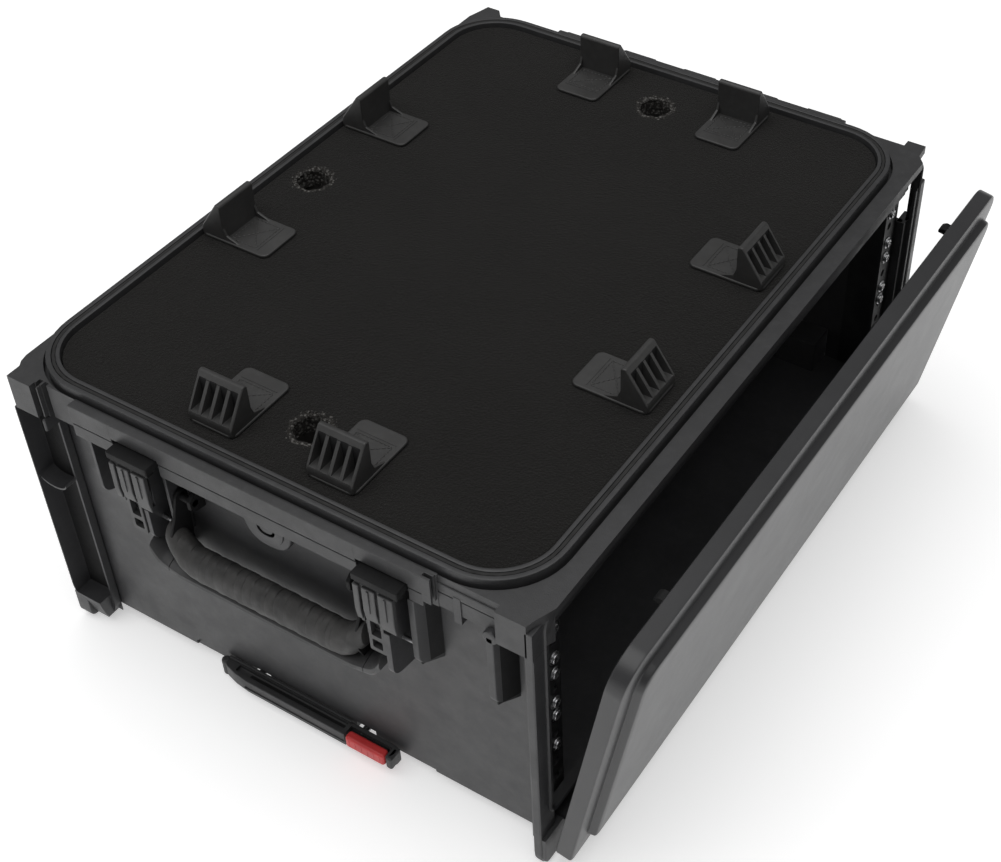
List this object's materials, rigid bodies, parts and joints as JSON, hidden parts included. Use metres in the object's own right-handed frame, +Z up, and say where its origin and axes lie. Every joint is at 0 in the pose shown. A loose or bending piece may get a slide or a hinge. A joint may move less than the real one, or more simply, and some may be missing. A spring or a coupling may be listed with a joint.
{
  "type": "equipment rack case",
  "caption": "Moulded rack case with carpeted top deck and movable blocks, raised lid seal, leaning front cover, draw latches, fold-down carry handle and pull-out trolley.",
  "frame": {"origin": "middle of the whole object's base, on the ground plane that the four feet and the case stand on", "axes": "+Z up; +X out of the rack's open front end, where the cover leans; -Y the side with the latches, carry handle and trolley grip; +Y the lid hinge side"},
  "size_m": [0.4602, 0.5582, 0.2673],
  "materials": {
    "body_plastic": "fine moulded grain, black",
    "deck_plastic": "fine moulded grain, black",
    "cover_plastic": "satin moulded grain, black",
    "board": "black-stained board",
    "carpet": "looped pile, black",
    "seal_rubber": "matt black",
    "steel": "zinc plated",
    "rail_steel": "black powder coat",
    "latch_plastic": "satin black",
    "handle_plastic": "satin black",
    "grip_rubber": "soft ribbed grip, black",
    "button_red": "satin red",
    "tube": "brushed",
    "block_plastic": "matt black with stitched base cloth",
    "tyre": "soft urethane, black"
  },
  "bodies": {
    "case": {"case_shell": "body_plastic", "deck_frame": "deck_plastic", "end_frame_front": "body_plastic", "end_frame_back": "body_plastic", "deck_board": "board", "foam_liner": "carpet", "lid_seal": "seal_rubber", "lid_hinge_strip": "deck_plastic", "lid_hinge_pin": "steel", "rack_rail_front_left": "rail_steel", "rack_rail_front_right": "rail_steel", "rack_rail_back_left": "rail_steel", "rack_rail_back_right": "rail_steel", "latch_pin_left": "steel", "latch_pin_right": "steel", "handle_pin_left": "steel", "handle_pin_right": "steel", "trolley_sleeve_left": "body_plastic", "trolley_sleeve_right": "body_plastic", "wheel_housing_left": "body_plastic", "wheel_housing_right": "body_plastic", "wheel_axle_left": "steel", "wheel_axle_right": "steel", "stabiliser_1": "block_plastic", "stabiliser_2": "block_plastic", "stabiliser_3": "block_plastic", "stabiliser_4": "block_plastic", "stabiliser_5": "block_plastic", "stabiliser_6": "block_plastic", "stabiliser_7": "block_plastic", "stabiliser_8": "block_plastic", "pressure_valve": "body_plastic"},
    "cover": {"front_cover": "cover_plastic", "cover_seal": "seal_rubber"},
    "catch_left": {"cover_catch_left": "latch_plastic"},
    "latch_left": {"latch_body_left": "latch_plastic"},
    "trigger_left": {"latch_trigger_left": "latch_plastic"},
    "middle_left": {"trolley_middle_tube_left": "tube"},
    "wheel_left": {"wheel_hub_left": "handle_plastic", "wheel_tyre_left": "tyre"},
    "catch_right": {"cover_catch_right": "latch_plastic"},
    "latch_right": {"latch_body_right": "latch_plastic"},
    "trigger_right": {"latch_trigger_right": "latch_plastic"},
    "middle_right": {"trolley_middle_tube_right": "tube"},
    "wheel_right": {"wheel_hub_right": "handle_plastic", "wheel_tyre_right": "tyre"},
    "carry_handle": {"carry_handle_core": "handle_plastic", "carry_grip": "grip_rubber"},
    "trolley": {"trolley_grip": "handle_plastic", "trolley_tube_left": "tube", "trolley_tube_right": "tube"},
    "button": {"release_button": "button_red", "release_bar": "handle_plastic", "release_rod_left": "steel", "release_rod_right": "steel"}
  },
  "joints": [
    {"name": "cover_hinge", "type": "hinge", "parent": "case", "child": "cover", "pos_m": [0.17554, 0.0039, 0.018], "axis": [0, 1, 0], "range_deg": [-10.6, 0]},
    {"name": "catch_slide_left", "type": "slide", "parent": "cover", "child": "catch_left", "axis": [0.184, 0, 0.9829], "range_m": [-0.0024, 0], "stiffness_N_per_m": 150, "springref_m": 0.002},
    {"name": "latch_hinge_left", "type": "hinge", "parent": "case", "child": "latch_left", "pos_m": [-0.12206, -0.2601, 0.165], "axis": [1, 0, 0], "range_deg": [0, 100]},
    {"name": "trigger_hinge_left", "type": "hinge", "parent": "latch_left", "child": "trigger_left", "pos_m": [-0.12206, -0.2717, 0.211], "axis": [1, 0, 0], "range_deg": [-25, 0], "stiffness_Nm_per_rad": 0.03, "springref_deg": 14.32},
    {"name": "catch_slide_right", "type": "slide", "parent": "cover", "child": "catch_right", "axis": [0.184, 0, 0.9829], "range_m": [-0.0024, 0], "stiffness_N_per_m": 150, "springref_m": 0.002},
    {"name": "latch_hinge_right", "type": "hinge", "parent": "case", "child": "latch_right", "pos_m": [0.06594, -0.2601, 0.165], "axis": [1, 0, 0], "range_deg": [0, 100]},
    {"name": "trigger_hinge_right", "type": "hinge", "parent": "latch_right", "child": "trigger_right", "pos_m": [0.06594, -0.2717, 0.211], "axis": [1, 0, 0], "range_deg": [-25, 0], "stiffness_Nm_per_rad": 0.03, "springref_deg": 14.32},
    {"name": "carry_handle_hinge", "type": "hinge", "parent": "case", "child": "carry_handle", "pos_m": [-0.02806, -0.2551, 0.186], "axis": [1, 0, 0], "range_deg": [-95, 0]},
    {"name": "trolley_slide", "type": "slide", "parent": "case", "child": "trolley", "axis": [0, -1, 0], "range_m": [0, 0.38]},
    {"name": "middle_slide_left", "type": "slide", "parent": "case", "child": "middle_left", "axis": [0, -1, 0], "range_m": [0, 0.19]},
    {"name": "middle_slide_right", "type": "slide", "parent": "case", "child": "middle_right", "axis": [0, -1, 0], "range_m": [0, 0.19]},
    {"name": "button_slide", "type": "slide", "parent": "trolley", "child": "button", "axis": [0, 1, 0], "range_m": [0, 0.002], "stiffness_N_per_m": 300, "springref_m": -0.003},
    {"name": "wheel_spin_left", "type": "hinge", "parent": "case", "child": "wheel_left", "pos_m": [-0.15306, 0.2539, 0.0245], "axis": [1, 0, 0], "continuous": true},
    {"name": "wheel_spin_right", "type": "hinge", "parent": "case", "child": "wheel_right", "pos_m": [0.09694, 0.2539, 0.0245], "axis": [1, 0, 0], "continuous": true}
  ],
  "couplings": [
    {"joint": "middle_slide_left", "follows": "trolley_slide", "ratio": 0.5},
    {"joint": "middle_slide_right", "follows": "trolley_slide", "ratio": 0.5}
  ]
}
